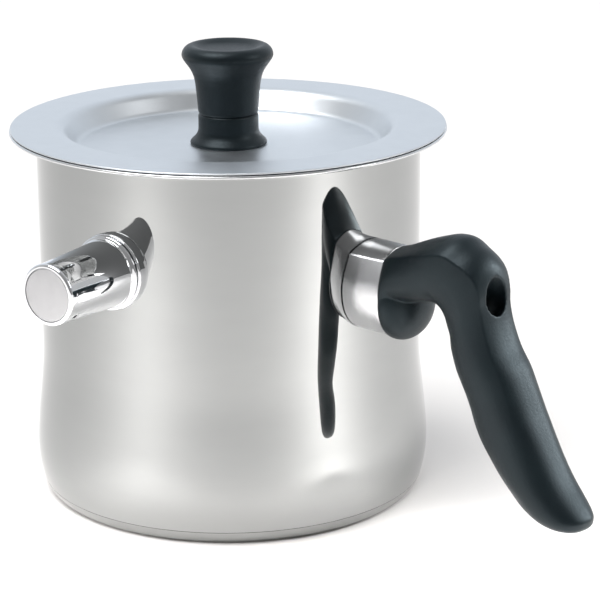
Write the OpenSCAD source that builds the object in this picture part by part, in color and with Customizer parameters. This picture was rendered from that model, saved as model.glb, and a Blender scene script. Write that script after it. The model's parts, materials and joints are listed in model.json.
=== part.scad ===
// Double-walled melting pot: a drawn outer shell and an inner vessel with a
// water jacket between them, filled through a side neck that a whistle cap
// closes, a lift-off lid with a knob, and a ferruled side handle.
// Origin: pot axis on the resting plane. +Z up, +X out along the handle.

/* [Pot body] */
// Outer diameter of the straight wall
body_d = 152; // [140:1:156]
// Largest diameter, at the belly just above the base
belly_d = 159; // [156:0.5:161]
// Height of the top of the rim
rim_z = 147.6; // [140:0.2:156]
// Diameter over the rim flange
rim_d = 172.8; // [170:0.2:176]
// Sheet thickness of the outer shell
shell_t = 0.6; // [0.5:0.1:0.8]

/* [Inner vessel] */
// Outside diameter of the inner vessel
inner_d = 137; // [136:1:138]
// Height of the underside of its floor
inner_floor_z = 13.4; // [10:0.2:20]
// Sheet thickness of the inner vessel
inner_t = 0.5; // [0.4:0.1:0.7]

/* [Base] */
// Height of the capsule base below the shell floor
base_h = 4.6; // [3.6:0.2:6]
// Diameter of the flat resting face
base_flat_d = 146.8; // [140:0.2:150]

/* [Filler neck and whistle cap] */
// Direction of the neck about the pot axis, from the handle
neck_turn = -80; // [-100:1:-70]
// Height of the neck's axis
neck_z = 105.5; // [95:0.5:112]
// Outside diameter of the neck tube
neck_d = 19; // [18:0.5:20]
// Distance of the cap's end face from the pot axis
cap_end = 114.3; // [112.3:0.5:118]
// Diameter of the cap at its end
cap_d = 23.4; // [23:0.2:24.6]
// Diameter of the cap just outside its lip
cap_root_d = 26; // [25:0.2:27]
// Diameter of the welded collar
collar_d = 29.6; // [29.4:0.2:31]

/* [Lid] */
// Lid diameter
lid_d = 172; // [170:0.5:174]
// Sheet thickness of the lid
lid_t = 0.7; // [0.6:0.1:0.9]
// Depth of the sunken centre
lid_sink = 8.4; // [6:0.2:10]

/* [Knob] */
// Largest diameter of the knob
knob_d = 36.2; // [34:0.2:38]
// Height of the knob above its skirt
knob_h = 27.6; // [25:0.2:30]
// Diameter of the knob's neck
knob_neck_d = 23.8; // [22:0.2:25]

/* [Handle] */
// Distance of the ferrule's outer end from the pot axis
ferrule_end = 92; // [90:0.5:94]
// Wall thickness of the ferrule
ferrule_t = 1; // [0.8:0.1:1.2]
// Diameter of the hanging hole
hang_d = 11; // [9:0.5:12]

/* [Hidden] */
$fn = 96;
eps = 0.01;

steel = [0.80, 0.81, 0.82];
satin = [0.74, 0.75, 0.76];
chrome = [0.88, 0.89, 0.90];
black = [0.10, 0.11, 0.13];
brass = [0.78, 0.62, 0.30];
grey = [0.45, 0.46, 0.48];

body_r = body_d / 2;
belly_r = belly_d / 2;
flat_r = base_flat_d / 2;
rim_r = rim_d / 2;
inner_r = inner_d / 2;
lid_r = lid_d / 2;
lid_z = rim_z + 0.1;             // underside of the lid's flange
floor_z = lid_z + lid_t - lid_sink; // top face of the lid's sunken floor
knob_z = floor_z + 12.2;         // joint between the skirt and the knob
neck_r = neck_d / 2;
cap_r = cap_d / 2;
outlet_turn = 48;                 // whistle outlet, from straight down toward the handle

// ---- helpers -------------------------------------------------------------
function unit(v) = v / norm(v);
function nrml(p, i) = let (a = p[max(i - 1, 0)], b = p[min(i + 1, len(p) - 1)],
  t = unit(b - a)) [t[1], -t[0]];
// closed outline of a sheet of thickness t on the left of the line p
function sheet(p, t) = concat(p,
  [for (i = [len(p) - 1:-1:0]) p[i] - t * nrml(p, i)]);
function arc(cx, cy, rx, ry, a0, a1, n) =
  [for (i = [0:n]) let (a = a0 + (a1 - a0) * i / n) [cx + rx * cos(a), cy + ry * sin(a)]];
module turned(p) { rotate_extrude($fn = 128) polygon(p); }
// places children with their Z axis along the neck, out from the pot
module on_neck() { rotate([0, 0, neck_turn]) translate([0, 0, neck_z]) rotate([0, 90, 0]) children(); }
module ring(r1, r0, z0, z1) {
  translate([0, 0, z0]) difference() {
    cylinder(r = r1, h = z1 - z0);
    translate([0, 0, -1]) cylinder(r = r0, h = z1 - z0 + 2);
  }
}

// ---- pot -----------------------------------------------------------------
// lower corner: a quarter ellipse from the flat to the belly
corner_h = 20;
function corner_r(z) = flat_r + (belly_r - flat_r) * sqrt(max(0, 1 - pow((corner_h - z) / corner_h, 2)));
function flare_r(z) = let (u = (58 - z) / (58 - corner_h), s = min(max(u, 0), 1))
  body_r + (belly_r - body_r) * (0.55 * s + 0.45 * s * s * (3 - 2 * s));
shell_line = concat(
  [[0, base_h], [corner_r(base_h) - 1.6, base_h]],
  arc(corner_r(base_h) - 1.2, base_h + 1.2, 1.2, 1.2, -60, -12, 3),
  [for (z = [base_h + 2:1.4:corner_h - 1]) [corner_r(z), z]],
  [for (z = [corner_h:3.8:58]) [flare_r(z), z]],
  [[body_r, 60], [body_r, rim_z - 4.3]],
  arc(body_r + 3.2, rim_z - 4.3, 3.2, 3.2, 180, 98, 7),
  [[body_r + 5, rim_z - 1.23], [rim_r - 0.95, rim_z - 1.44]]);

module outer_shell() {
  color(steel) difference() {
    turned(sheet(shell_line, shell_t));
    on_neck() translate([0, 0, 60]) cylinder(r = neck_r + 0.02, h = 30);
  }
}

inner_line = concat(
  [[0, inner_floor_z], [inner_r - 12, inner_floor_z]],
  arc(inner_r - 12, inner_floor_z + 12, 12, 12, -82, 0, 8),
  [[inner_r, inner_floor_z + 14], [inner_r, rim_z - 3.2]],
  arc(inner_r + 2.7, rim_z - 3.2, 2.7, 2.7, 176, 96, 6),
  [[inner_r + 5, rim_z - inner_t], [body_r + 3, rim_z - inner_t], [rim_r - 0.8, rim_z - inner_t - 0.3]]);

module inner_pot() {
  color(steel) {
    turned(sheet(inner_line, inner_t));
    // the hemmed edge that wraps the outer flange
    turned(concat([[rim_r - 0.9, rim_z - 0.6], [rim_r - 0.9, rim_z - 1.42]],
      arc(rim_r - 0.55, rim_z - 0.92, 0.55, 0.55, -110, 90, 10), [[rim_r - 0.9, rim_z - 0.32]]));
  }
}

// side of the heat-spreading core, shared with the capsule that wraps it
core_line = concat([[flat_r - 1.4, 0.8]],
  [for (z = [1.1:0.5:base_h - 0.4]) [corner_r(z) - 0.75, z]],
  [[corner_r(base_h) - 0.9, base_h]]);
module base_core() {
  color(satin) turned(concat([[0, 0.8]], [for (p = core_line) [p[0] - 0.02, p[1]]], [[0, base_h]]));
}

module base_cap() {
  color(steel) turned(concat([[0, 0], [flat_r - 0.6, 0]],
    [for (z = [0.15:0.445:base_h - 0.2]) [corner_r(z), z]],
    [[corner_r(base_h) - 0.25, base_h]],
    [for (i = [len(core_line) - 1:-1:0]) core_line[i]],
    [[0, 0.8]]));
}

// ---- filler neck and whistle cap -----------------------------------------
neck_end = cap_end - 11.5;
module filler_neck() {
  color(steel) on_neck() difference() {
    union() {
      translate([0, 0, 73.5]) cylinder(r = neck_r, h = neck_end - 73.5);
    }
    translate([0, 0, 70]) cylinder(r = neck_r - 0.8, h = 50);
  }
}

module neck_collar() {
  color(chrome) difference() {
    on_neck() turned(concat([[neck_r, 70], [collar_d / 2, 70], [collar_d / 2, body_r + 1.4]],
      arc(collar_d / 2 - 0.9, body_r + 1.4, 0.9, 0.9, 0, 90, 5),
      [[neck_r + 2.6, body_r + 2.3], [neck_r, body_r + 2.3]]));
    cylinder(r = body_r, h = 200);
  }
}

lip = body_r + 2.8;              // the cap's lip stands just off the collar
cap_line = concat(
  arc(cap_root_d / 2 + 0.7, lip + 0.75, 0.75, 0.75, -100, 80, 8),
  [[cap_root_d / 2 + 0.25, lip + 1.8], [cap_root_d / 2, lip + 2.6]],
  [for (i = [1:4]) [cap_root_d / 2 + (cap_r - cap_root_d / 2) * i / 4, lip + 2.6 + (cap_end - 4 - lip - 2.6) * i / 4]],
  arc(cap_r - 1.1, cap_end - 1.1, 1.1, 1.1, 0, 90, 6),
  [[cap_r - 1.6, cap_end - 0.05]]);
module whistle_cap() {
  color(chrome) on_neck() difference() {
    turned(concat(cap_line,
      [[cap_r - 1.6, cap_end - 1.6], [cap_r - 1.2, cap_end - 2.4], [cap_r - 1.2, cap_end - 6],
       [cap_r - 1.2, lip + 4], [cap_root_d / 2 - 1, lip + 1.2], [cap_root_d / 2 - 0.6, lip + 0.1]]));
    // whistle outlet, low on the side toward the handle
    translate([0, 0, cap_end - 5]) rotate([0, 0, outlet_turn]) rotate([0, 90, 0]) cylinder(r = 1, h = 20);
  }
}

module cap_end_disc() {
  color(satin) on_neck() turned(concat([[0, cap_end - 1.6], [cap_r - 1.62, cap_end - 1.6]],
    [[cap_r - 1.62, cap_end - 0.4]], arc(cap_r - 2.1, cap_end - 0.5, 0.45, 0.45, 0, 90, 3), [[0, cap_end - 0.05]]));
}

plate_r = cap_r - 1.22;
module whistle_plate(z) {
  on_neck() translate([0, 0, z]) difference() {
    cylinder(r = plate_r, h = 0.6);
    translate([0, 0, -1]) cylinder(r = 1.2, h = 3);
  }
}
module whistle_inner_disc() { color(satin) whistle_plate(neck_end + 0.6); }
module whistle_outer_disc() { color(satin) whistle_plate(neck_end + 3.6); }
module whistle_spacer() { color(satin) on_neck() ring(plate_r, plate_r - 1.2, neck_end + 1.2, neck_end + 3.6); }
module cap_seal() { color([0.82, 0.80, 0.76]) on_neck() ring(plate_r, neck_r + 0.05, lip + 5, neck_end + 0.5); }

// ---- lid -----------------------------------------------------------------
lid_line = concat(
  [[2.7, floor_z - lid_t], [58.6, floor_z - lid_t]],
  arc(58.6, floor_z - lid_t + 3.4, 3.4, 3.4, -80, -35, 4),
  [[64.2, lid_z - 2.7]],
  arc(68.2, lid_z - 4.2, 4.2, 4.2, 155, 95, 5),
  [[70, lid_z], [lid_r - 1.2, lid_z], [lid_r - 0.35, lid_z - 0.06]]);
module lid_disc() {
  color(steel) union() {
    turned(sheet(lid_line, lid_t));
    // rounded edge
    turned(concat([[lid_r - 0.8, lid_z - 0.05]], arc(lid_r - 0.4, lid_z + 0.32, 0.4, 0.4, -80, 80, 6), [[lid_r - 0.8, lid_z + lid_t]]));
  }
}

// ---- knob ----------------------------------------------------------------
kn = knob_neck_d / 2;
kr = knob_d / 2;
knob_line = [
  [kn - 0.6, 0], [kn - 0.15, 0.35], [kn, 0.8], [kn + 0.15, 3], [kn + 0.4, 6], [kn + 0.75, 9.6],
  [kn + 1.05, 12.4], [kn + 1.6, 14.8], [kn + 2.4, 16.8], [kn + 3.4, 18.4], [kn + 4.5, 19.9],
  [kr - 0.7, 21.3], [kr - 0.1, 22.3], [kr, 23.2], [kr - 0.25, 24.3], [kr - 0.95, 25.5],
  [kr - 2, 26.4], [kr - 3.3, 26.9], [kr - 4.6, 26.8], [kr - 6, 26.2], [kr - 7.4, 25.5],
  [kr - 9.4, 25.1], [0, 24.9]];
module lid_knob() {
  color(black) difference() {
    translate([0, 0, knob_z]) scale([1, 1, 1]) turned(concat([[0, 0]], [for (p = knob_line) [p[0], p[1] * knob_h / 27.2]]));
    translate([0, 0, knob_z - 1]) cylinder(r = 3.6, h = 15);
  }
}
module knob_skirt() {
  color(black) difference() {
    translate([0, 0, floor_z]) turned(concat(
      [[0, 0], [15, 0], [15.25, 0.5], [15.2, 1], [14.6, 1.7], [13.7, 2.5], [12.9, 3.4],
       [12.3, 4.4], [kn + 0.05, 5.6], [kn, 7], [kn, 11.3], [kn - 0.15, 11.75], [kn - 0.6, 12.15], [0, 12.15]]));
    translate([0, 0, floor_z - 1]) cylinder(r = 2.7, h = 20);
  }
}
module knob_insert() {
  color(brass) translate([0, 0, knob_z]) union() {
    ring(3.58, 2.52, 0, 13);
  }
}
module knob_screw() {
  color(chrome) translate([0, 0, floor_z - lid_t - 1]) union() {
    cylinder(r = 2.48, h = 22);
    difference() {
      translate([0, 0, -3]) cylinder(r = 4.8, h = 3);
      for (a = [0, 90]) rotate([0, 0, a]) translate([-3, -0.45, -4]) cube([6, 0.9, 2.6]);
    }
  }
}
module knob_washer() { color(chrome) ring(6, 2.65, floor_z - lid_t - 1, floor_z - lid_t); }

// ---- handle --------------------------------------------------------------
// Stations along the handle, hand-chosen in the plane of symmetry:
// [inner x, inner z, outer x, outer z, half width, outer and inner squareness,
// height of the top's edges as a share of the half depth, share of that form,
// distance of the edges from the middle as a share of the half width]
stations = [
  [92, 80, 92, 114.8, 13.6, 5, 2.4, 0.78, 1, 0.75],
  [93.2, 88.6, 93, 115, 13.7, 5, 2.5, 0.77, 1, 0.76],
  [95.5, 93.2, 95.5, 115.8, 13.8, 5, 2.6, 0.75, 1, 0.79],
  [98.5, 95, 99.6, 117.4, 13.9, 4.8, 2.7, 0.7, 1, 0.84],
  [101.5, 95.9, 104.2, 119.4, 13.9, 4.6, 2.8, 0.65, 1, 0.88],
  [104.5, 96.6, 109, 121.3, 13.8, 4.4, 2.9, 0.6, 1, 0.92],
  [107.6, 97.2, 114, 123, 13.5, 4.3, 2.9, 0.57, 1, 0.94],
  [111, 97.5, 119, 124.4, 13, 4.2, 2.8, 0.57, 1, 0.95],
  [114.6, 97.7, 123.8, 124.3, 12.6, 4.2, 2.8, 0.6, 1, 0.95],
  [117.6, 96, 128, 122, 12.2, 4.2, 2.8, 0.65, 1, 0.93],
  [119.6, 93, 132.6, 119.2, 11.9, 4.2, 2.8, 0.71, 1, 0.9],
  [120.6, 89.6, 136.2, 114.9, 11.7, 4, 2.8, 0.79, 1, 0.84],
  [121.7, 86, 138, 108.4, 11.5, 3.9, 2.7, 0.88, 0.95, 0.78],
  [122, 82.2, 138.6, 101, 11.4, 3.7, 2.6, 0.92, 0.85, 0.74],
  [122.9, 78.4, 140.6, 93.6, 11.4, 3.5, 2.5, 0.95, 0.7, 0.72],
  [124.4, 74.5, 144.2, 86, 11.5, 3.3, 2.5, 0.95, 0.55, 0.72],
  [126.3, 70.5, 149.4, 78.8, 11.6, 3.2, 2.4, 0.95, 0.4, 0.72],
  [128.7, 66.5, 153.2, 71.6, 11.7, 3.1, 2.4, 0.95, 0.25, 0.72],
  [130.9, 62, 156.9, 64.4, 11.8, 3, 2.4, 0.95, 0.1, 0.72],
  [132.7, 57, 160.6, 58, 11.8, 2.9, 2.4, 0.95, 0, 0.72],
  [135.3, 51.6, 164.3, 51.6, 11.8, 2.8, 2.3, 0.95, 0, 0.72],
  [139.6, 46, 168.3, 45.2, 11.7, 2.7, 2.3, 0.95, 0, 0.72],
  [144.4, 40.3, 172.5, 39.6, 11.6, 2.6, 2.3, 0.95, 0, 0.72],
  [149.5, 34.8, 176.8, 35, 11.3, 2.5, 2.2, 0.95, 0, 0.72],
  [155, 29.8, 180.2, 31.4, 10.8, 2.4, 2.2, 0.95, 0, 0.72],
  [160.8, 26.3, 182.1, 28.6, 9.8, 2.3, 2.1, 0.95, 0, 0.72],
  [166.6, 24.6, 181.8, 26.2, 7.8, 2.2, 2.1, 0.95, 0, 0.72],
  [171.8, 24, 179.6, 24.6, 4.8, 2, 2, 0.95, 0, 0.72]];
sides = 32;
edge_a = 39.375;                 // angle index of the top's edge
function sgn(v) = v < 0 ? -1 : 1;
// outer half with edges: leaning sides up to a crease, then a crowned top
function edged(w, h, e, k, a) = let (m = a > 90 ? 180 - a : a, g = a > 90 ? -1 : 1)
  m <= edge_a ? [g * w * (1 - (1 - k) * pow(m / edge_a, 1.6)), e * h * m / edge_a]
  : let (v = (90 - m) / (90 - edge_a)) [g * k * w * v, h * (1 - (1 - e) * v * v)];
// section: h half depth, w half width, b the share of the edged form
function sect(w, h, q, qi, e, b, k) = [for (i = [0:sides - 1]) let (a = 360 * (i + 0.5) / sides, c = cos(a), s = sin(a),
  n = s > 0 ? q : qi, p = [w * sgn(c) * pow(abs(c), 2 / n), h * sgn(s) * pow(abs(s), 2 / n)])
  s > 0 ? p * (1 - b) + edged(w, h, e, k, a) * b : p];
function station(k) = let (s = stations[k], mx = (s[0] + s[2]) / 2, mz = (s[1] + s[3]) / 2,
  h = norm([s[2] - s[0], s[3] - s[1]]) / 2, ux = (s[2] - s[0]) / 2 / h, uz = (s[3] - s[1]) / 2 / h)
  [for (p = sect(s[4], h, s[5], s[6], s[7], s[8], s[9])) [mx + ux * p[1], p[0], mz + uz * p[1]]];
nst = len(stations);
grip_points = concat([for (k = [0:nst - 1]) each station(k)], [[92, 0, 97.4], [176, 0, 23.9]]);
grip_faces = concat(
  [for (k = [0:nst - 2], i = [0:sides - 1]) each let (j = (i + 1) % sides, a = k * sides)
    [[a + i, a + sides + i, a + sides + j], [a + i, a + sides + j, a + j]]],
  [for (i = [0:sides - 1]) [nst * sides, i, (i + 1) % sides]],
  [for (i = [0:sides - 1]) [nst * sides + 1, (nst - 1) * sides + (i + 1) % sides, (nst - 1) * sides + i]]);

// the lobe: the outer half of an ellipsoid, cut flat at the ferrule's end
lobe = [93.7, 93.1, 9.7, 13.75, 14.2]; // centre x, centre z, half length, half width, half height
lobe_rings = 9;
lobe_a0 = asin((stations[0][0] - lobe[0]) / lobe[2]);
lobe_points = concat(
  [for (k = [0:lobe_rings - 1], i = [0:sides - 1]) let (u = lobe_a0 + (90 - lobe_a0) * k / lobe_rings, a = 360 * i / sides)
    [lobe[0] + lobe[2] * sin(u), lobe[3] * cos(u) * cos(a), lobe[1] + lobe[4] * cos(u) * sin(a)]],
  [[stations[0][0], 0, lobe[1]], [lobe[0] + lobe[2], 0, lobe[1]]]);
lobe_faces = concat(
  [for (k = [0:lobe_rings - 2], i = [0:sides - 1]) each let (j = (i + 1) % sides, a = k * sides)
    [[a + i, a + sides + i, a + sides + j], [a + i, a + sides + j, a + j]]],
  [for (i = [0:sides - 1]) [lobe_rings * sides, i, (i + 1) % sides]],
  [for (i = [0:sides - 1]) [lobe_rings * sides + 1, (lobe_rings - 1) * sides + (i + 1) % sides, (lobe_rings - 1) * sides + i]]);

mid_z = (stations[0][1] + stations[0][3]) / 2;
end_w = stations[0][4];
end_h = (stations[0][3] - stations[0][1]) / 2;
screw_x = ferrule_end + 6.5;     // the handle's cross screw, through the tongue
screw_z = 103.8;
// a bar of the ferrule's section, drawn in by e, from x0 to x1
module section_bar(x0, x1, e) {
  translate([x0, 0, mid_z]) rotate([90, 0, 90]) linear_extrude(height = x1 - x0) polygon(sect(end_w - e, end_h - e, 5, 2.4, 0.78, 1, 0.75));
}

module bracket_pad() {
  color(satin) difference() {
    intersection() {
      translate([0, 0, 86]) cylinder(r = body_r + 1.5, h = 24);
      translate([60, -8.5, 86]) cube([30, 17, 24]);
    }
    cylinder(r = body_r, h = 200);
  }
}
module handle_bracket() {
  color(satin) difference() {
    translate([body_r, -4, 98]) cube([ferrule_end + 11 - body_r, 8, 11.6]);
    cylinder(r = body_r + 1.5, h = 200);
    translate([screw_x, 10, screw_z]) rotate([90, 0, 0]) cylinder(r = 2.02, h = 20);
  }
}
module handle_ferrule() {
  color(chrome) difference() {
    section_bar(60, ferrule_end, 0);
    section_bar(50, ferrule_end + 5, ferrule_t);
    cylinder(r = body_r, h = 200);
  }
}
hang_in = [122.4, 86.5];
hang_out = [139.8, 106.5];
hang_a = atan2(hang_out[0] - hang_in[0], hang_out[1] - hang_in[1]);
module handle_grip() {
  color(black) translate([ferrule_end - stations[0][0], 0, 0]) difference() {
    union() {
      polyhedron(points = grip_points, faces = grip_faces);
      // round lobe under the joint
      polyhedron(points = lobe_points, faces = lobe_faces);
      section_bar(84, 93, ferrule_t + 0.1);
    }
    // pocket for the bracket's tongue
    translate([80, -4.2, 97.8]) cube([24, 8.4, 12]);
    // cross screw's hole and its counterbore from the far side
    translate([98.5, 30, screw_z]) rotate([90, 0, 0]) cylinder(r = 3.9, h = 21);
    translate([98.5, 30, screw_z]) rotate([90, 0, 0]) cylinder(r = 2.2, h = 30);
    // hanging hole
    translate([hang_in[0], 0, hang_in[1]]) rotate([0, hang_a, 0]) translate([0, 0, -12]) cylinder(r = hang_d / 2, h = 60);
  }
}
// places children with their Z axis along the cross screw, in from its head
module on_screw() { translate([screw_x, 0, screw_z]) rotate([90, 0, 0]) translate([0, 0, -12.8]) children(); }
module handle_screw() {
  color(chrome) on_screw() difference() {
    union() {
      cylinder(r = 3.4, h = 2.8);
      cylinder(r = 1.98, h = 16.6);
    }
    translate([-2.4, -0.4, -1]) cube([4.8, 0.8, 2.2]);
    translate([-0.4, -2.4, -1]) cube([0.8, 4.8, 2.2]);
  }
}
module handle_washer() { color(chrome) on_screw() ring(3.7, 2.1, 2.8, 3.8); }

outer_shell();
inner_pot();
base_core();
base_cap();
filler_neck();
neck_collar();
whistle_cap();
cap_end_disc();
whistle_inner_disc();
whistle_spacer();
whistle_outer_disc();
cap_seal();
lid_disc();
lid_knob();
knob_skirt();
knob_insert();
knob_screw();
knob_washer();
bracket_pad();
handle_bracket();
handle_ferrule();
handle_grip();
handle_screw();
handle_washer();
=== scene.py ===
import json
import math
import bpy
import bmesh
import numpy as np
from mathutils import Matrix, Vector


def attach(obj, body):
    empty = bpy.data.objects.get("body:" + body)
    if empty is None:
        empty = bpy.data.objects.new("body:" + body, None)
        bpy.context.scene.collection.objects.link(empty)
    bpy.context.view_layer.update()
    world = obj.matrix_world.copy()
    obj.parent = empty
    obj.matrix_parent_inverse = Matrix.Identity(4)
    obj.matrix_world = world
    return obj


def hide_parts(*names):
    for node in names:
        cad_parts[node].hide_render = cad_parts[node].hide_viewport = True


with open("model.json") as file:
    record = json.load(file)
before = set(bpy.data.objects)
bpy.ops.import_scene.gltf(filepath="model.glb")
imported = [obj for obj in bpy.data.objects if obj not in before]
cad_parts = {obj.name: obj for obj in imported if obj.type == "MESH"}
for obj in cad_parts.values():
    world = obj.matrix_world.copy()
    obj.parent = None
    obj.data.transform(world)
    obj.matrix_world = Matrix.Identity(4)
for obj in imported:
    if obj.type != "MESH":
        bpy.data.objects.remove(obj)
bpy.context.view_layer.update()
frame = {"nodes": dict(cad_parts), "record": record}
NODES = frame["nodes"]
MM = 0.001


# ---------------------------------------------------------------- materials
def new_mat(name):
    m = bpy.data.materials.new(name)
    m.use_nodes = True
    nt = m.node_tree
    bsdf = nt.nodes["Principled BSDF"]
    return m, nt, bsdf


def coords(nt, scale=(1, 1, 1)):
    """Object coordinates in metres, scaled."""
    tc = nt.nodes.new("ShaderNodeTexCoord")
    mp = nt.nodes.new("ShaderNodeMapping")
    mp.inputs["Scale"].default_value = scale
    nt.links.new(tc.outputs["Object"], mp.inputs["Vector"])
    return mp.outputs["Vector"]


def noise(nt, vec, scale, detail=3.0, rough=0.5):
    n = nt.nodes.new("ShaderNodeTexNoise")
    n.inputs["Scale"].default_value = scale
    n.inputs["Detail"].default_value = detail
    n.inputs["Roughness"].default_value = rough
    nt.links.new(vec, n.inputs["Vector"])
    return n.outputs["Fac"]


def ramp(nt, fac, stops):
    r = nt.nodes.new("ShaderNodeValToRGB")
    el = r.color_ramp.elements
    el[0].position, el[0].color = stops[0][0], (*stops[0][1], 1)
    el[1].position, el[1].color = stops[-1][0], (*stops[-1][1], 1)
    for p, c in stops[1:-1]:
        e = el.new(p)
        e.color = (*c, 1)
    nt.links.new(fac, r.inputs["Fac"])
    return r.outputs["Color"]


def to_range(nt, fac, lo, hi):
    mr = nt.nodes.new("ShaderNodeMapRange")
    mr.inputs["To Min"].default_value = lo
    mr.inputs["To Max"].default_value = hi
    nt.links.new(fac, mr.inputs["Value"])
    return mr.outputs["Result"]


def bump(nt, bsdf, fac, strength, distance):
    b = nt.nodes.new("ShaderNodeBump")
    b.inputs["Strength"].default_value = strength
    b.inputs["Distance"].default_value = distance
    nt.links.new(fac, b.inputs["Height"])
    nt.links.new(b.outputs["Normal"], bsdf.inputs["Normal"])
    return b


def metal(name, dark, light, r_lo, r_hi, vec_scale, n_scale, bump_strength=0.0, bump_dist=0.00002, detail=4.0):
    """A metal whose tone and roughness vary along its polishing lines."""
    m, nt, bsdf = new_mat(name)
    v = coords(nt, vec_scale)
    lines = noise(nt, v, n_scale, detail, 0.55)
    nt.links.new(ramp(nt, lines, [(0.3, dark), (0.7, light)]), bsdf.inputs["Base Color"])
    nt.links.new(to_range(nt, lines, r_lo, r_hi), bsdf.inputs["Roughness"])
    bsdf.inputs["Metallic"].default_value = 1.0
    if bump_strength:
        bump(nt, bsdf, lines, bump_strength, bump_dist)
    return m


def moulded(name, dark, light, r_lo, r_hi, grain, strength, dist, spec=0.5, tint=(1, 1, 1)):
    """A moulded plastic with a fine grain."""
    m, nt, bsdf = new_mat(name)
    v = coords(nt)
    broad = noise(nt, v, 60.0, 3.0)
    fine = noise(nt, v, grain, 5.0, 0.6)
    nt.links.new(ramp(nt, broad, [(0.35, dark), (0.65, light)]), bsdf.inputs["Base Color"])
    nt.links.new(to_range(nt, fine, r_lo, r_hi), bsdf.inputs["Roughness"])
    bsdf.inputs["Specular IOR Level"].default_value = spec
    bsdf.inputs["Specular Tint"].default_value = (*tint, 1)
    bump(nt, bsdf, fine, strength, dist)
    return m


MAT = {
    # polishing lines run round the pot, so the noise is stretched along them
    "body_steel": metal("body_steel", (0.375, 0.382, 0.38), (0.385, 0.392, 0.39), 0.02, 0.03, (1, 1, 3), 40.0),
    "inner_steel": metal("inner_steel", (0.66, 0.67, 0.68), (0.74, 0.75, 0.76), 0.20, 0.30, (1, 1, 12), 160.0, 0.06, 0.00001),
    "lid_steel": metal("lid_steel", (0.66, 0.69, 0.72), (0.69, 0.72, 0.75), 0.34, 0.42, (1, 1, 1), 120.0),
    # the base capsule's steel is toned a little darker than the wall's: painted shade along the foot of the pot
    "base_steel": metal("base_steel", (0.35, 0.355, 0.352), (0.37, 0.375, 0.372), 0.03, 0.05, (1, 1, 6), 90.0),
    "base_aluminium": metal("base_aluminium", (0.66, 0.66, 0.67), (0.74, 0.74, 0.75), 0.35, 0.5, (1, 1, 1), 300.0),
    "chrome_trim": metal("chrome_trim", (0.83, 0.84, 0.86), (0.88, 0.89, 0.91), 0.015, 0.045, (1, 1, 1), 90.0),
    "satin_disc": metal("satin_disc", (0.53, 0.53, 0.54), (0.55, 0.55, 0.56), 0.40, 0.46, (1, 1, 1), 300.0),
    "phenolic_black": moulded("phenolic_black", (0.0015, 0.004, 0.006), (0.003, 0.007, 0.009), 0.33, 0.50, 1100.0, 0.7, 0.00009, 0.38, (0.76, 0.92, 1.0)),
    "silicone": moulded("silicone", (0.60, 0.58, 0.54), (0.68, 0.66, 0.62), 0.5, 0.65, 900.0, 0.2, 0.00005),
    "brass_insert": metal("brass_insert", (0.55, 0.40, 0.16), (0.68, 0.50, 0.22), 0.22, 0.36, (1, 1, 10), 400.0),
    "plated_steel": metal("plated_steel", (0.52, 0.53, 0.55), (0.66, 0.67, 0.68), 0.22, 0.34, (1, 1, 1), 500.0, 0.1, 0.00002),
    "bracket_steel": metal("bracket_steel", (0.44, 0.44, 0.45), (0.56, 0.56, 0.57), 0.3, 0.45, (1, 1, 1), 350.0, 0.1, 0.00002),
}
NODE_SLOT = {p["node"]: p["material_slot"] for p in frame["record"]["subparts"]}


def paint(ob, slot):
    ob.data.materials.clear()
    ob.data.materials.append(MAT[slot])


# ---------------------------------------------------------------- mesh helpers
def shade(ob, angle=32):
    me = ob.data
    me.polygons.foreach_set("use_smooth", [True] * len(me.polygons))
    me.set_sharp_from_angle(angle=math.radians(angle))


def mesh_ob(name, verts, faces, angle=32, weld=True):
    me = bpy.data.meshes.new(name)
    me.from_pydata([tuple(v) for v in verts], [], faces)
    me.update()
    ob = bpy.data.objects.new(name, me)
    bpy.context.scene.collection.objects.link(ob)
    bm = bmesh.new()
    bm.from_mesh(me)
    if weld:
        bmesh.ops.remove_doubles(bm, verts=bm.verts, dist=1e-7)
    bmesh.ops.recalc_face_normals(bm, faces=bm.faces)
    bm.to_mesh(me)
    bm.free()
    shade(ob, angle)
    return ob


def put(ob, body, nodes, slot):
    paint(ob, slot)
    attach(ob, body)
    if nodes:
        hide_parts(*nodes)
    return ob


def arc(cx, cy, rx, ry, a0, a1, n):
    return [(cx + rx * math.cos(math.radians(a0 + (a1 - a0) * i / n)), cy + ry * math.sin(math.radians(a0 + (a1 - a0) * i / n))) for i in range(n + 1)]


def resample(pts, step):
    p = np.array(pts, float)
    d = np.r_[0, np.cumsum(np.linalg.norm(np.diff(p, axis=0), axis=1))]
    keep = np.r_[True, np.diff(d) > 1e-9]
    p, d = p[keep], d[keep]
    n = max(2, int(round(d[-1] / step)) + 1)
    t = np.linspace(0, d[-1], n)
    return np.stack([np.interp(t, d, p[:, k]) for k in range(p.shape[1])], -1)


def smooth_path(pts, step=0.25, sigma=1.0):
    """Resamples an open path and rounds its corners with a Gaussian of sigma mm; the ends stay."""
    p = resample(pts, step)
    n = max(1, int(round(4 * sigma / step)))
    k = np.exp(-0.5 * (np.arange(-n, n + 1) * step / sigma) ** 2)
    k /= k.sum()
    # odd reflection at the ends keeps them and their direction
    lead = 2 * p[0] - p[n:0:-1] if len(p) > n else np.repeat(p[:1], n, 0)
    tail = 2 * p[-1] - p[-2:-n - 2:-1] if len(p) > n else np.repeat(p[-1:], n, 0)
    q = np.concatenate([lead, p, tail])
    return np.stack([np.convolve(q[:, c], k, "valid") for c in range(p.shape[1])], -1)


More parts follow.
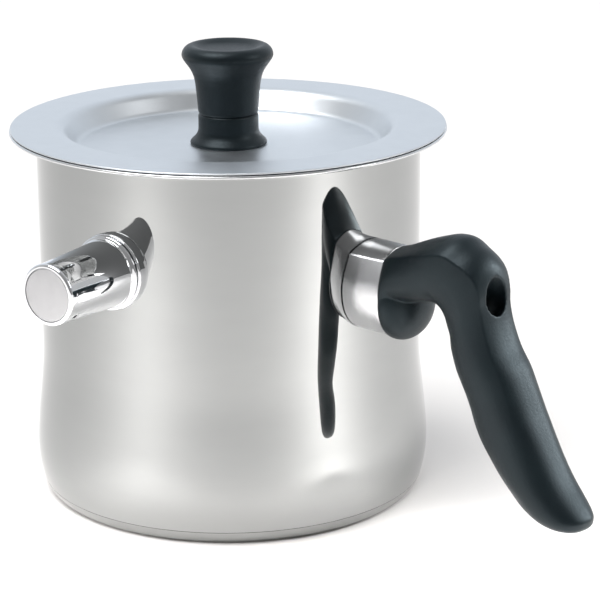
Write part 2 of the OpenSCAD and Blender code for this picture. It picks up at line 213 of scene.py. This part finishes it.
def thin(path, tol=0.004):
    """Drops points that a straight line replaces within tol mm."""
    p = np.array(path, float)
    keep = [0]
    i = 0
    while i < len(p) - 1:
        j = min(i + 40, len(p) - 1)
        while j > i + 1:
            a, b = p[i], p[j]
            ab = b - a
            L = np.linalg.norm(ab)
            q = p[i + 1:j] - a
            dist = np.abs(ab[0] * q[:, 1] - ab[1] * q[:, 0]) / max(L, 1e-9)
            if dist.max() < tol:
                break
            j -= 1
        keep.append(j)
        i = j
    return p[keep]


def offset(path, t):
    """Path moved by t to the left of its direction."""
    p = np.array(path, float)
    d = np.gradient(p, axis=0)
    d /= np.linalg.norm(d, axis=1)[:, None]
    return p + t * np.stack([-d[:, 1], d[:, 0]], -1)


def revolve(name, prof, seg=256, place=None, angle=32):
    """Turns a closed outline of (r, z) mm points about Z; place is a matrix in mm."""
    prof = [(max(0.0, float(r)), float(z)) for r, z in prof]
    verts, index = [], []
    for r, z in prof:
        if r < 1e-4:
            index.append([len(verts)] * seg)
            verts.append((0, 0, z))
        else:
            index.append(list(range(len(verts), len(verts) + seg)))
            for k in range(seg):
                a = 2 * math.pi * k / seg
                verts.append((r * math.cos(a), r * math.sin(a), z))
    faces = []
    n = len(prof)
    for i in range(n):
        j = (i + 1) % n
        a, b = index[i], index[j]
        if a[0] == a[1 % seg] and b[0] == b[1 % seg]:
            continue
        for k in range(seg):
            m = (k + 1) % seg
            f = [a[k], a[m], b[m], b[k]]
            f = list(dict.fromkeys(f))
            if len(f) > 2:
                faces.append(f)
    v = np.array(verts)
    if place is not None:
        M = np.array(place)
        v = v @ M[:3, :3].T + M[:3, 3]
    return mesh_ob(name, v * MM, faces, angle)


def sheet_outline(path, t):
    """Closed outline of a sheet: path is its right-hand face, and t lies to the left."""
    up = offset(path, t)
    return np.concatenate([path, up[::-1]])


# ---------------------------------------------------------------- sizes, mm
BODY_R, BELLY_R, FLAT_R = 76.0, 79.5, 73.4
RIM_Z, RIM_R = 147.6, 86.4
SHELL_T, INNER_R, FLOOR_IN, INNER_T = 0.6, 68.5, 13.4, 0.5
BASE_H, CORNER_H = 4.6, 20.0
LID_R, LID_T, LID_Z = 86.0, 0.7, 147.7
FLOOR_Z = LID_Z + LID_T - 8.4
KNOB_Z = FLOOR_Z + 12.2
NECK_Z, NECK_R, CAP_END, CAP_R, CAP_ROOT = 105.5, 9.5, 114.3, 11.7, 13.0
LIP = BODY_R + 2.8
NECK_END = CAP_END - 11.5


def corner_r(z):
    return FLAT_R + (BELLY_R - FLAT_R) * math.sqrt(max(0.0, 1 - ((CORNER_H - z) / CORNER_H) ** 2))


def flare_r(z):
    s = min(max((58 - z) / (58 - CORNER_H), 0), 1)
    return BODY_R + (BELLY_R - BODY_R) * (0.55 * s + 0.45 * s * s * (3 - 2 * s))


# ---------------------------------------------------------------- pot wall
wall = [(corner_r(z), z) for z in np.arange(BASE_H + 0.6, CORNER_H, 0.3)]
wall += [(flare_r(z), z) for z in np.arange(CORNER_H, 58.01, 0.5)]
wall += [(BODY_R, 66), (BODY_R, RIM_Z - 4.3)]
wall = smooth_path(wall, 0.25, 3.0)
top = arc(BODY_R + 3.2, RIM_Z - 4.3, 3.2, 3.2, 180, 98, 24) + [(BODY_R + 5, RIM_Z - 1.13), (RIM_R - 0.95, RIM_Z - 1.42)]
top = smooth_path([(BODY_R, RIM_Z - 12)] + top, 0.2, 0.45)
floor_line = [(0, BASE_H), (corner_r(BASE_H) - 1.6, BASE_H)] + arc(corner_r(BASE_H) - 1.2, BASE_H + 1.2, 1.2, 1.2, -60, -12, 6)
w = np.array([p for p in wall if p[1] < RIM_Z - 13])
w[:, 0] = np.where(w[:, 1] > 78, BODY_R, w[:, 0])
w = thin(w, 0.0015)
# rings no taller than 4 mm on the straight wall, so that the neck's hole stays under the collar
full = [tuple(p) for p in w]
dense = [full[0]]
for p in full[1:]:
    q = dense[-1]
    n = max(1, int(math.ceil(abs(p[1] - q[1]) / 3.0)))
    for k in range(1, n + 1):
        dense.append((q[0] + (p[0] - q[0]) * k / n, q[1] + (p[1] - q[1]) * k / n))
outer_path = np.array(floor_line + dense + [tuple(p) for p in thin(top, 0.0015)])
shell = revolve("pot_outer_shell", sheet_outline(outer_path, SHELL_T), 288)

turn = math.radians(-80)
neck_place = Matrix.Rotation(turn, 4, "Z") @ Matrix.Translation((0, 0, NECK_Z)) @ Matrix.Rotation(math.radians(90), 4, "Y")


def cylinder(name, r, h, place, seg=96):
    return revolve(name, [(0, 0), (r, 0), (r, h), (0, h)], seg, place)


def boolean(ob, cutter, op="DIFFERENCE"):
    mod = ob.modifiers.new("cut", "BOOLEAN")
    mod.operation = op
    mod.solver = "EXACT"
    mod.object = cutter
    bpy.context.view_layer.objects.active = ob
    bpy.context.view_layer.update()
    dg = bpy.context.evaluated_depsgraph_get()
    me = bpy.data.meshes.new_from_object(ob.evaluated_get(dg))
    ob.modifiers.remove(mod)
    old = ob.data
    ob.data = me
    bpy.data.meshes.remove(old)
    data = cutter.data
    bpy.data.objects.remove(cutter)
    bpy.data.meshes.remove(data)


boolean(shell, cylinder("hole", NECK_R + 0.02, 30, neck_place @ Matrix.Translation((0, 0, 60))))
shade(shell, 30)
put(shell, "pot", ["outer_shell"], "body_steel")

# ---------------------------------------------------------------- inner vessel with its hemmed rim
inner = [(0, FLOOR_IN), (INNER_R - 12, FLOOR_IN)] + arc(INNER_R - 12, FLOOR_IN + 12, 12, 12, -88, 0, 40)
inner += [(INNER_R, FLOOR_IN + 14), (INNER_R, RIM_Z - 3.2)] + arc(INNER_R + 2.7, RIM_Z - 3.2, 2.7, 2.7, 176, 96, 20)
inner += [(INNER_R + 5, RIM_Z - INNER_T), (RIM_R - 1.4, RIM_Z - INNER_T - 0.08)]
inner = thin(smooth_path(inner, 0.2, 0.6), 0.002)
upper = offset(inner, INNER_T)
upper[:, 1] = np.minimum(upper[:, 1], RIM_Z)
hem = arc(RIM_R - 0.6, RIM_Z - 0.86, 0.6, 0.62, 96, -110, 20)
outline = [tuple(p) for p in inner] + [(RIM_R - 0.96, RIM_Z - 0.62), (RIM_R - 0.96, RIM_Z - 1.42)] + hem[::-1] + [tuple(p) for p in upper[::-1] if p[0] < RIM_R - 1.2]
rim = revolve("pot_inner_vessel", outline, 256, None, 40)
put(rim, "pot", ["inner_pot"], "inner_steel")

# ---------------------------------------------------------------- capsule base
base_out = [(0, 0), (FLAT_R - 1.0, 0)]
base_out += [(corner_r(z), z) for z in np.arange(0.12, BASE_H + 0.5, 0.12)]
base_out = thin(smooth_path(base_out, 0.1, 0.25), 0.002)
base_in = [(corner_r(z) - 0.75, z) for z in np.arange(BASE_H + 0.45, 1.0, -0.3)]
cap_base = revolve("pot_base_capsule", [tuple(p) for p in base_out] + base_in + [(FLAT_R - 1.4, 0.8), (0, 0.8)], 256)
put(cap_base, "pot", ["base_cap"], "base_steel")

# ---------------------------------------------------------------- collar and whistle cap
cr = 29.6 / 2


def collar_mesh():
    prof = smooth_path([(NECK_R + 0.01, BODY_R + 2.3), (NECK_R + 2.6, BODY_R + 2.3), (cr - 0.9, BODY_R + 2.3)] + arc(cr - 0.9, BODY_R + 1.4, 0.9, 0.9, 90, 0, 10) + [(cr, BODY_R + 0.6)], 0.1, 0.18)
    prof = [tuple(p) for p in thin(prof, 0.002)]
    seg, verts, faces = 160, [], []
    rows = []
    for r, s in prof + [(cr, None), (NECK_R + 0.01, None)]:
        row = []
        for k in range(seg):
            a = 2 * math.pi * k / seg
            # neck frame: x points down (-Z of the pot), y is sideways
            x, y = r * math.cos(a), r * math.sin(a)
            z = s if s is not None else math.sqrt(BODY_R ** 2 - y * y) - 0.2
            row.append(len(verts))
            verts.append((x, y, z))
        rows.append(row)
    n = len(rows)
    for i in range(n):
        a, b = rows[i], rows[(i + 1) % n]
        for k in range(seg):
            m = (k + 1) % seg
            faces.append([a[k], a[m], b[m], b[k]])
    v = np.array(verts)
    M = np.array(neck_place)
    v = v @ M[:3, :3].T + M[:3, 3]
    return mesh_ob("neck_collar_ring", v * MM, faces, 35)


put(collar_mesh(), "pot", ["neck_collar"], "chrome_trim")

cap_path = arc(CAP_ROOT + 0.7, LIP + 0.75, 0.75, 0.75, -100, 80, 20)
cap_path += [(CAP_ROOT + 0.25, LIP + 1.8), (CAP_ROOT, LIP + 2.6)]
cap_path += [(CAP_ROOT + (CAP_R - CAP_ROOT) * i / 4, LIP + 2.6 + (CAP_END - 4 - LIP - 2.6) * i / 4) for i in range(1, 5)]
cap_path += arc(CAP_R - 1.1, CAP_END - 1.1, 1.1, 1.1, 0, 90, 12) + [(CAP_R - 1.5, CAP_END)]
cap_path = thin(smooth_path(cap_path, 0.08, 0.22), 0.002)
cap_prof = [tuple(p) for p in cap_path] + [(CAP_R - 1.6, CAP_END - 1.6), (CAP_R - 1.2, CAP_END - 2.4), (CAP_R - 1.2, CAP_END - 6), (CAP_R - 1.2, LIP + 4), (CAP_ROOT - 1, LIP + 1.2), (CAP_ROOT - 0.6, LIP + 0.1)]
cap = revolve("whistle_cap_body", cap_prof, 192, neck_place)
outlet = neck_place @ Matrix.Translation((0, 0, CAP_END - 5)) @ Matrix.Rotation(math.radians(48), 4, "Z") @ Matrix.Rotation(math.radians(90), 4, "Y")
boolean(cap, cylinder("hole", 1.0, 20, outlet, 32))
shade(cap, 30)
put(cap, "cap", ["whistle_cap"], "chrome_trim")

disc = [(0, CAP_END - 1.6), (CAP_R - 1.62, CAP_END - 1.6), (CAP_R - 1.62, CAP_END - 0.4)] + arc(CAP_R - 2.1, CAP_END - 0.5, 0.45, 0.45, 0, 90, 8) + [(0, CAP_END - 0.05)]
put(revolve("cap_end_plate", disc, 128, neck_place), "cap", ["cap_end_disc"], "satin_disc")

# ---------------------------------------------------------------- lid
lid = [(2.7, FLOOR_Z - LID_T), (58.6, FLOOR_Z - LID_T)] + arc(58.6, FLOOR_Z - LID_T + 3.4, 3.4, 3.4, -88, -35, 14)
lid += [(64.2, LID_Z - 2.7)] + arc(68.2, LID_Z - 4.2, 4.2, 4.2, 155, 92, 16) + [(70, LID_Z), (LID_R - 1.2, LID_Z), (LID_R - 0.5, LID_Z - 0.02)]
lid = thin(smooth_path(lid, 0.2, 0.55), 0.002)
lid_up = offset(lid, LID_T)
edge = arc(LID_R - 0.4, LID_Z + 0.33, 0.4, 0.36, -100, 90, 16)
lid_prof = [tuple(p) for p in lid if p[0] < LID_R - 0.6] + edge + [tuple(p) for p in lid_up[::-1] if p[0] < LID_R - 0.6]
put(revolve("lid_plate", lid_prof, 320), "lid", ["lid_disc"], "lid_steel")

# ---------------------------------------------------------------- knob and skirt
kn, kr, KH = 23.8 / 2, 36.2 / 2, 27.6 / 27.2
knob_line = [(kn - 0.6, 0), (kn - 0.15, 0.35), (kn, 0.8), (kn + 0.15, 3), (kn + 0.4, 6), (kn + 0.75, 9.6), (kn + 1.05, 12.4), (kn + 1.6, 14.8), (kn + 2.4, 16.8), (kn + 3.4, 18.4), (kn + 4.5, 19.9), (kr - 0.7, 21.3), (kr - 0.1, 22.3), (kr, 23.2), (kr - 0.25, 24.3), (kr - 0.95, 25.5), (kr - 2, 26.4), (kr - 3.3, 26.9), (kr - 4.6, 26.8), (kr - 6, 26.2), (kr - 7.4, 25.5), (kr - 9.4, 25.1), (0, 24.9)]
line = smooth_path([(r, KNOB_Z + z * KH) for r, z in knob_line[:-1]], 0.12, 0.55)
line = [(3.6, KNOB_Z), (kn - 0.62, KNOB_Z)] + [tuple(p) for p in thin(line, 0.003)] + [(0, KNOB_Z + 24.9 * KH), (0, KNOB_Z + 14), (3.6, KNOB_Z + 14)]
put(revolve("lid_knob_body", line, 192), "lid", ["lid_knob"], "phenolic_black")
skirt_line = [(15, 0), (15.25, 0.5), (15.2, 1), (14.6, 1.7), (13.7, 2.5), (12.9, 3.4), (12.3, 4.4), (kn + 0.05, 5.6), (kn, 7), (kn, 11.3), (kn - 0.15, 11.75), (kn - 0.6, 12.15)]
sk = [(r, FLOOR_Z + z) for r, z in skirt_line]
sk = [(2.7, FLOOR_Z)] + [tuple(p) for p in thin(smooth_path(sk, 0.12, 0.3), 0.003)] + [(2.7, FLOOR_Z + 12.15)]
put(revolve("lid_knob_skirt", sk, 192), "lid", ["knob_skirt"], "phenolic_black")

# ---------------------------------------------------------------- ferrule
ST = np.array([
    [92, 80, 92, 114.8, 13.6, 5, 2.4, 0.78, 1, 0.75], [93.2, 88.6, 93, 115, 13.7, 5, 2.5, 0.77, 1, 0.76],
    [95.5, 93.2, 95.5, 115.8, 13.8, 5, 2.6, 0.75, 1, 0.79], [98.5, 95, 99.6, 117.4, 13.9, 4.8, 2.7, 0.7, 1, 0.84],
    [101.5, 95.9, 104.2, 119.4, 13.9, 4.6, 2.8, 0.65, 1, 0.88], [104.5, 96.6, 109, 121.3, 13.8, 4.4, 2.9, 0.6, 1, 0.92],
    [107.6, 97.2, 114, 123, 13.5, 4.3, 2.9, 0.57, 1, 0.94], [111, 97.5, 119, 124.4, 13, 4.2, 2.8, 0.57, 1, 0.95],
    [114.6, 97.7, 123.8, 124.3, 12.6, 4.2, 2.8, 0.6, 1, 0.95], [117.6, 96, 128, 122, 12.2, 4.2, 2.8, 0.65, 1, 0.93],
    [119.6, 93, 132.6, 119.2, 11.9, 4.2, 2.8, 0.71, 1, 0.9], [120.6, 89.6, 136.2, 114.9, 11.7, 4, 2.8, 0.79, 1, 0.84],
    [121.7, 86, 138, 108.4, 11.5, 3.9, 2.7, 0.88, 0.95, 0.78], [122, 82.2, 138.6, 101, 11.4, 3.7, 2.6, 0.92, 0.85, 0.74],
    [122.9, 78.4, 140.6, 93.6, 11.4, 3.5, 2.5, 0.95, 0.7, 0.72], [124.4, 74.5, 144.2, 86, 11.5, 3.3, 2.5, 0.95, 0.55, 0.72],
    [126.3, 70.5, 149.4, 78.8, 11.6, 3.2, 2.4, 0.95, 0.4, 0.72], [128.7, 66.5, 153.2, 71.6, 11.7, 3.1, 2.4, 0.95, 0.25, 0.72],
    [130.9, 62, 156.9, 64.4, 11.8, 3, 2.4, 0.95, 0.1, 0.72], [132.7, 57, 160.6, 58, 11.8, 2.9, 2.4, 0.95, 0, 0.72],
    [135.3, 51.6, 164.3, 51.6, 11.8, 2.8, 2.3, 0.95, 0, 0.72], [139.6, 46, 168.3, 45.2, 11.7, 2.7, 2.3, 0.95, 0, 0.72],
    [144.4, 40.3, 172.5, 39.6, 11.6, 2.6, 2.3, 0.95, 0, 0.72], [149.5, 34.8, 176.8, 35, 11.3, 2.5, 2.2, 0.95, 0, 0.72],
    [155, 29.8, 180.2, 31.4, 10.8, 2.4, 2.2, 0.95, 0, 0.72], [160.8, 26.3, 182.1, 28.6, 9.8, 2.3, 2.1, 0.95, 0, 0.72],
    [166.6, 24.6, 181.8, 26.2, 7.8, 2.2, 2.1, 0.95, 0, 0.72], [171.8, 24, 179.6, 24.6, 4.8, 2, 2, 0.95, 0, 0.72]])
MID_Z = (80 + 114.8) / 2
END_W, END_H = 13.6, (114.8 - 80) / 2
EDGE_A = 39.375


def sect(w, h, q, qi, e, b, kw, n):
    """Section with n points, two of them always on the top's edges."""
    k = n // 8
    a = np.concatenate([np.linspace(0, EDGE_A, k, False), np.linspace(EDGE_A, 90, k, False), np.linspace(90, 180 - EDGE_A, k, False),
                        np.linspace(180 - EDGE_A, 180, k, False), np.linspace(180, 360, 4 * k, False)])
    c, s = np.cos(np.radians(a)), np.sin(np.radians(a))
    s[np.abs(s) < 1e-9] = 0
    c[np.abs(c) < 1e-9] = 0
    x = np.where(s > 0, 2 / q, 2 / qi)
    p = np.stack([w * np.sign(c) * np.abs(c) ** x, h * np.sign(s) * np.abs(s) ** x], -1)
    m = np.where(a > 90, 180 - a, a)
    g = np.where(a > 90, -1.0, 1.0)
    m = np.clip(m, 0, 90)
    v = (90 - m) / (90 - EDGE_A)
    side = np.stack([g * w * (1 - (1 - kw) * (m / EDGE_A) ** 1.6), e * h * m / EDGE_A], -1)
    crown = np.stack([g * kw * w * v, h * (1 - (1 - e) * v * v)], -1)
    edged = np.where((m <= EDGE_A + 1e-9)[:, None], side, crown)
    up = (a < 180)[:, None]
    return np.where(up, p * (1 - b) + edged * b, p)


def ferrule_mesh():
    n = 200
    # (x, or distance off the wall where below 50; inset from the outside)
    rows = [(-0.15, 0.85), (0.45, 0.85), (0.5, 0.3), (0.6, 0.08), (0.8, 0.0), (82, 0.0), (85, 0.0), (88, 0.0), (90.5, 0.0), (91.5, 0.0), (91.85, 0.05),
            (91.97, 0.2), (92.0, 0.4), (92.0, 0.95), (90.5, 1.0), (84, 1.0), (-0.15, 1.0)]
    verts, faces, index = [], [], []
    for x, inset in rows:
        sec = sect(END_W - inset, END_H - inset, 5, 2.4, 0.78, 1, 0.75, n)
        row = []
        for y, z in sec:
            wide = 1.075 if x < 50 else 1 + 0.075 * min(1, (92 - x) / 15)
            y *= wide
            xx = x if x > 50 else math.sqrt(BODY_R ** 2 - y * y) + x
            row.append(len(verts))
            verts.append((xx, y, MID_Z + z))
        index.append(row)
    for i in range(len(rows)):
        a, b = index[i], index[(i + 1) % len(rows)]
        for k in range(n):
            m = (k + 1) % n
            faces.append([a[k], a[m], b[m], b[k]])
    return mesh_ob("handle_ferrule_shell", np.array(verts) * MM, faces, 40)


ferrule = ferrule_mesh()
put(ferrule, "pot", ["handle_ferrule"], "chrome_trim")
# the ferrule's polish is softer than the cap's
ferrule.data.materials.clear()
ferrule.data.materials.append(metal("ferrule_chrome", (0.66, 0.665, 0.68), (0.72, 0.725, 0.74), 0.20, 0.27, (1, 1, 1), 90.0))


# ---------------------------------------------------------------- grip
def spline(rows, per):
    """Smooth curve through the rows, per steps in each interval."""
    p = np.array(rows, float)
    c = (p[:, 0:2] + p[:, 2:4]) / 2
    t = np.r_[0, np.cumsum(np.sqrt(np.linalg.norm(np.diff(c, axis=0), axis=1) + 0.5))]
    out = []
    n = len(p)
    m = np.zeros_like(p)
    for i in range(n):
        a, b = max(i - 1, 0), min(i + 1, n - 1)
        m[i] = (p[b] - p[a]) / (t[b] - t[a])
    for i in range(n - 1):
        h = t[i + 1] - t[i]
        for k in range(per):
            s = k / per
            out.append((2 * s ** 3 - 3 * s ** 2 + 1) * p[i] + (s ** 3 - 2 * s ** 2 + s) * h * m[i]
                       + (-2 * s ** 3 + 3 * s ** 2) * p[i + 1] + (s ** 3 - s ** 2) * h * m[i + 1])
    out.append(p[-1])
    return np.array(out)


def grip_mesh():
    n = 96
    rows = spline(ST, 4)
    rows[:, 2] = np.minimum(rows[:, 2], 182.02)
    verts, faces = [], []
    for s in rows:
        mid = np.array([(s[0] + s[2]) / 2, (s[1] + s[3]) / 2])
        half = np.array([(s[2] - s[0]) / 2, (s[3] - s[1]) / 2])
        h = np.linalg.norm(half)
        u = half / h
        for p in sect(s[4], h, s[5], s[6], min(s[7], 1), min(max(s[8], 0), 1), s[9], n):
            verts.append((mid[0] + u[0] * p[1], p[0], mid[1] + u[1] * p[1]))
    nr = len(rows)
    for i in range(nr - 1):
        for k in range(n):
            m = (k + 1) % n
            faces.append([i * n + k, (i + 1) * n + k, (i + 1) * n + m, i * n + m])
    c0, c1 = len(verts), len(verts) + 1
    verts += [(92, 0, MID_Z), (176, 0, 23.9)]
    for k in range(n):
        m = (k + 1) % n
        faces.append([c0, k, m])
        faces.append([c1, (nr - 1) * n + m, (nr - 1) * n + k])
    body = mesh_ob("handle_grip_body", np.array(verts), faces)
    # the lobe
    cx, cz, lx, ly, lz = 93.7, 93.1, 9.7, 13.75, 14.2
    u0 = math.asin((92 - cx) / lx)
    verts, faces, m = [], [], 96
    rings = 28
    for k in range(rings):
        u = u0 + (math.pi / 2 - u0) * k / rings
        for i in range(m):
            a = 2 * math.pi * i / m
            verts.append((cx + lx * math.sin(u), ly * math.cos(u) * math.cos(a), cz + lz * math.cos(u) * math.sin(a)))
    verts += [(92, 0, cz), (cx + lx, 0, cz)]
    for k in range(rings - 1):
        for i in range(m):
            j = (i + 1) % m
            faces.append([k * m + i, (k + 1) * m + i, (k + 1) * m + j, k * m + j])
    for i in range(m):
        j = (i + 1) % m
        faces.append([rings * m, i, j])
        faces.append([rings * m + 1, (rings - 1) * m + j, (rings - 1) * m + i])
    lobe = mesh_ob("lobe", np.array(verts), faces)
    boolean(body, lobe, "UNION")
    # spigot inside the ferrule
    sec = sect(END_W - 1.1, END_H - 1.1, 5, 2.4, 0.78, 1, 0.75, 96)
    v = [(84, y, MID_Z + z) for y, z in sec] + [(93, y, MID_Z + z) for y, z in sec]
    f = [list(range(96))[::-1], list(range(96, 192))] + [[k, (k + 1) % 96, 96 + (k + 1) % 96, 96 + k] for k in range(96)]
    boolean(body, mesh_ob("spigot", v, f), "UNION")

    def block(lo, hi):
        (x0, y0, z0), (x1, y1, z1) = lo, hi
        v = [(x, y, z) for x in (x0, x1) for y in (y0, y1) for z in (z0, z1)]
        f = [[0, 1, 3, 2], [4, 6, 7, 5], [0, 4, 5, 1], [2, 3, 7, 6], [0, 2, 6, 4], [1, 5, 7, 3]]
        return mesh_ob("block", v, f)

    def post(r, z0, z1, place=Matrix.Identity(4)):
        ob = revolve("post", [(0, z0), (r, z0), (r, z1), (0, z1)], 96, place)
        ob.data.transform(Matrix.Scale(1000, 4))
        return ob

    boolean(body, block((80, -4.2, 97.8), (104, 4.2, 109.8)))
    across = Matrix.Translation((98.5, 0, 103.8)) @ Matrix.Rotation(math.radians(-90), 4, "X")
    boolean(body, post(3.9, 9, 40, across))
    boolean(body, post(2.2, 0, 20, across))
    ha = math.atan2(139.8 - 122.4, 106.5 - 86.5)
    boolean(body, post(5.5, -12, 48, Matrix.Translation((122.4, 0, 86.5)) @ Matrix.Rotation(ha, 4, "Y")))
    # even, slightly softened surface
    mod = body.modifiers.new("even", "REMESH")
    mod.mode = "VOXEL"
    mod.voxel_size = 0.44
    mod.use_smooth_shade = True
    mod = body.modifiers.new("soft", "SMOOTH")
    mod.factor = 0.5
    mod.iterations = 1
    bpy.context.view_layer.update()
    dg = bpy.context.evaluated_depsgraph_get()
    me = bpy.data.meshes.new_from_object(body.evaluated_get(dg))
    body.modifiers.clear()
    body.data = me
    me.transform(Matrix.Scale(MM, 4))
    me.polygons.foreach_set("use_smooth", [True] * len(me.polygons))
    me.update()
    return body


grip = grip_mesh()
put(grip, "pot", ["handle_grip"], "phenolic_black")

# ---------------------------------------------------------------- the other CAD pieces
for name, ob in NODES.items():
    if not ob.hide_render:
        me = ob.data
        me.polygons.foreach_set("use_smooth", [True] * len(me.polygons))
        paint(ob, NODE_SLOT[name])

# ---------------------------------------------------------------- stage
floor_me = bpy.data.meshes.new("floor")
floor_me.from_pydata([(-6, -6, 0), (6, -6, 0), (6, 6, 0), (-6, 6, 0)], [], [[0, 1, 2, 3]])
floor = bpy.data.objects.new("floor", floor_me)
bpy.context.scene.collection.objects.link(floor)
floor.location.z = -0.0003
fm, fnt, fb = new_mat("floor")
fb.inputs["Base Color"].default_value = (0.93, 0.905, 0.885, 1)
fb.inputs["Roughness"].default_value = 0.75
fb.inputs["Specular IOR Level"].default_value = 0.1
floor_me.materials.append(fm)

CAM = Vector((666.3, -648.0, 355.97)) * MM
AXIS = Vector((0, 0, 75)) * MM
FWD = (AXIS - CAM).normalized()
RIGHT = FWD.cross(Vector((0, 0, 1))).normalized()
side = Vector((RIGHT.x, RIGHT.y, 0)).normalized()
front = Vector((-FWD.x, -FWD.y, 0)).normalized()

# a pale room, brighter at the back and dimmer overhead
world = bpy.data.worlds.new("studio")
bpy.context.scene.world = world
world.use_nodes = True
wt = world.node_tree
bg = wt.nodes["Background"]
tc = wt.nodes.new("ShaderNodeTexCoord")
dot = wt.nodes.new("ShaderNodeVectorMath")
dot.operation = "DOT_PRODUCT"
dot.inputs[1].default_value = tuple(-front)
wt.links.new(tc.outputs["Generated"], dot.inputs[0])
wr = wt.nodes.new("ShaderNodeValToRGB")
wmap = wt.nodes.new("ShaderNodeMapRange")
wmap.inputs["From Min"].default_value = -1.0
wt.links.new(dot.outputs["Value"], wmap.inputs["Value"])
wt.links.new(wmap.outputs["Result"], wr.inputs["Fac"])
el = wr.color_ramp.elements
el[0].position, el[0].color = 0.0, (0.22, 0.22, 0.22, 1)
el[1].position, el[1].color = 1.0, (0.86, 0.92, 1.0, 1)
for p, c in ((0.35, (0.36, 0.36, 0.36)), (0.62, (0.54, 0.55, 0.56)), (0.85, (0.80, 0.85, 0.91))):
    e = el.new(p)
    e.color = (*c, 1)
wt.links.new(wr.outputs["Color"], bg.inputs["Color"])
bg.inputs["Strength"].default_value = 1.0


def toward(deg, r, z):
    """A point at this azimuth from the viewer's side, positive to the right, r out and z up."""
    a = math.radians(deg)
    d = front * math.cos(a) + side * math.sin(a)
    return Vector((d.x * r, d.y * r, z))


def area(name, where, aim, size, power, color=(1, 1, 1), spin=None):
    data = bpy.data.lights.new(name, "AREA")
    data.shape = "RECTANGLE"
    data.size, data.size_y = size
    data.energy = power
    data.color = color
    ob = bpy.data.objects.new(name, data)
    bpy.context.scene.collection.objects.link(ob)
    ob.location = where
    if spin is None:
        ob.rotation_euler = (Vector(aim) - Vector(where)).to_track_quat("-Z", "Y").to_euler()
    else:
        ob.rotation_euler = (0, 0, spin)
    ob.visible_camera = False
    return ob


def strip(name, deg, r, z, length, width, power):
    """A strip light over the floor, pointing down, its length running out from the pot."""
    p = toward(deg, r, z)
    return area(name, p, None, (length, width), power, spin=math.atan2(p.y, p.x))


def sun(name, toward_light, strength, spread):
    data = bpy.data.lights.new(name, "SUN")
    data.energy = strength
    data.angle = math.radians(spread)
    ob = bpy.data.objects.new(name, data)
    bpy.context.scene.collection.objects.link(ob)
    ob.rotation_euler = Vector(toward_light).normalized().to_track_quat("Z", "Y").to_euler()
    return ob


# a broad soft key from above, a little to the left and in front
sun("key", toward(-70, 0.42, 1.0), 2.15, 40)


def beam(name, wall_deg, start, length, z, width, power):
    """A low strip light in front of the pot, out of the picture, lighting the floor that the wall mirrors at this angle."""
    w = toward(wall_deg, 0.076, 0)
    d = toward(2 * wall_deg, 1.0, 0)
    p = w + d * (start + length / 2)
    ob = area(name, (p.x, p.y, z), None, (length, width), power, spin=math.atan2(d.y, d.x))
    ob.light_linking.receiver_collection = floor_only
    ob.visible_glossy = False
    return ob


floor_only = bpy.data.collections.new("floor_only")
floor_only.objects.link(floor)

# a soft box for the ferrule alone, above the pot
ferrule_only = bpy.data.collections.new("ferrule_only")
ferrule_only.objects.link(ferrule)
box = area("ferrule_box", (-0.24, -0.30, 0.46), (0.084, -0.01, 0.104), (0.30, 0.16), 3.0)
box.light_linking.receiver_collection = ferrule_only
box.light_linking.blocker_collection = ferrule_only

# a soft box for the grip's outer face, off to the right
grip_only = bpy.data.collections.new("grip_only")
grip_only.objects.link(grip)
rim_box = area("grip_box", toward(97, 1.0, 0.40), (0.14, 0, 0.08), (0.16, 0.5), 5.0, (0.9, 0.97, 1.0))
rim_box.light_linking.receiver_collection = grip_only


for i, (start, length, z, power) in enumerate([(0.02, 0.14, 0.10, 0.14), (0.16, 0.18, 0.20, 0.33), (0.34, 0.28, 0.33, 0.85)]):
    beam("strip_left_%d" % i, -26, start, length, 0.8 * z, 0.25 * z, 0.66 * power)
    beam("strip_right_%d" % i, 29, start, length, 0.62 * z, 0.15 * z, 0.74 * power)
area("side_box", toward(75, 1.1, 0.75), (0.12, 0, 0.06), (0.35, 0.5), 2.2)

# ---------------------------------------------------------------- camera
cam_data = bpy.data.cameras.new("camera")
cam_data.sensor_width = 36
cam_data.lens = 144
cam_data.clip_start, cam_data.clip_end = 0.05, 20
cam_data.dof.use_dof = False
cam = bpy.data.objects.new("camera", cam_data)
bpy.context.scene.collection.objects.link(cam)
ROLL = math.radians(0.85)
# a camera looking straight at the axis, rolled, then turned so that the axis point lands left of the centre
up0 = RIGHT.cross(FWD)
base = Matrix((RIGHT, up0, -FWD)).transposed()
base = base @ Matrix.Rotation(-ROLL, 3, "Z")
px, py = (231.1 - 300) / 2400, (300 - 299.4) / 2400
yaw = math.atan(px)
pitch = math.atan(py)
rot = base @ Matrix.Rotation(yaw, 3, "Y") @ Matrix.Rotation(-pitch, 3, "X")
cam.rotation_mode = "QUATERNION"
cam.rotation_quaternion = rot.to_quaternion()
cam.location = CAM
bpy.context.scene.camera = cam
bpy.context.scene.view_settings.view_transform = "Standard"

bpy.context.view_layer.update()
